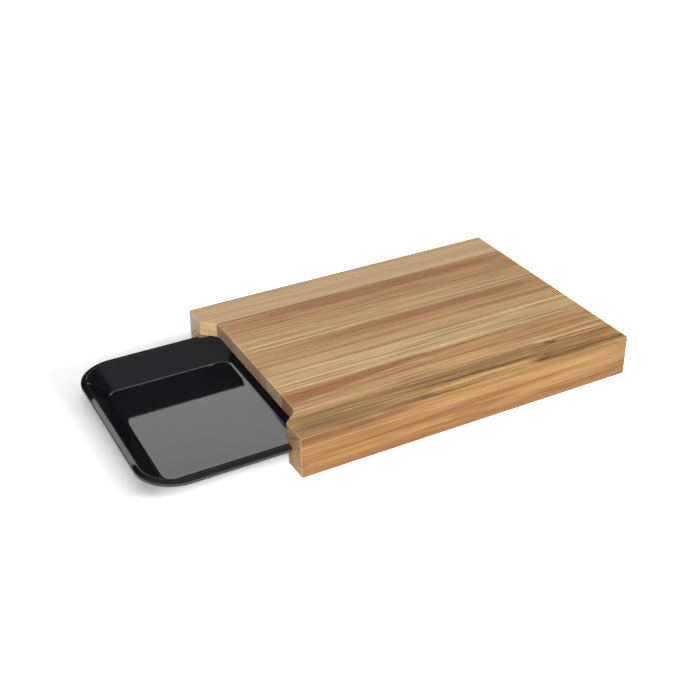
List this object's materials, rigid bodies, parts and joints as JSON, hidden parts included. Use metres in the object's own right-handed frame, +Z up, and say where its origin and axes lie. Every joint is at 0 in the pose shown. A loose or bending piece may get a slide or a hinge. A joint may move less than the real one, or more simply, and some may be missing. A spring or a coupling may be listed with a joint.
{
  "type": "cutting board with drawer trays",
  "caption": "Wooden cutting board on grooved side rails, with black food trays that slide out under its ends.",
  "frame": {"origin": "middle of the board's underside, on the worktop, halfway between the two rails and between the board's ends", "axes": "+X along the board, away from its notched end; +Y towards the back rail; +Z up"},
  "size_m": [0.5215, 0.28, 0.045],
  "materials": {
    "pale_wood": "oiled, pale straight grain",
    "honey_wood": "oiled, honey coloured straight grain",
    "tan_wood": "oiled, tan straight grain",
    "dark_wood": "oiled, olive brown grain",
    "rail_wood": "oiled, warm straight grain",
    "black_tray": "gloss black, moulded"
  },
  "bodies": {
    "board": {"top_stave_1": "dark_wood", "top_stave_2": "tan_wood", "top_stave_3": "pale_wood", "top_stave_4": "honey_wood", "top_stave_5": "honey_wood", "top_stave_6": "tan_wood", "top_stave_7": "pale_wood", "front_rail": "rail_wood", "back_rail": "rail_wood"},
    "left_tray": {"left_tray": "black_tray"},
    "right_tray": {"right_tray": "black_tray"}
  },
  "joints": [
    {"name": "left_tray_slide", "type": "slide", "parent": "board", "child": "left_tray", "axis": [-1, 0, 0], "range_m": [-0.142, 0.05]},
    {"name": "right_tray_slide", "type": "slide", "parent": "board", "child": "right_tray", "axis": [1, 0, 0], "range_m": [0, 0.192]}
  ]
}
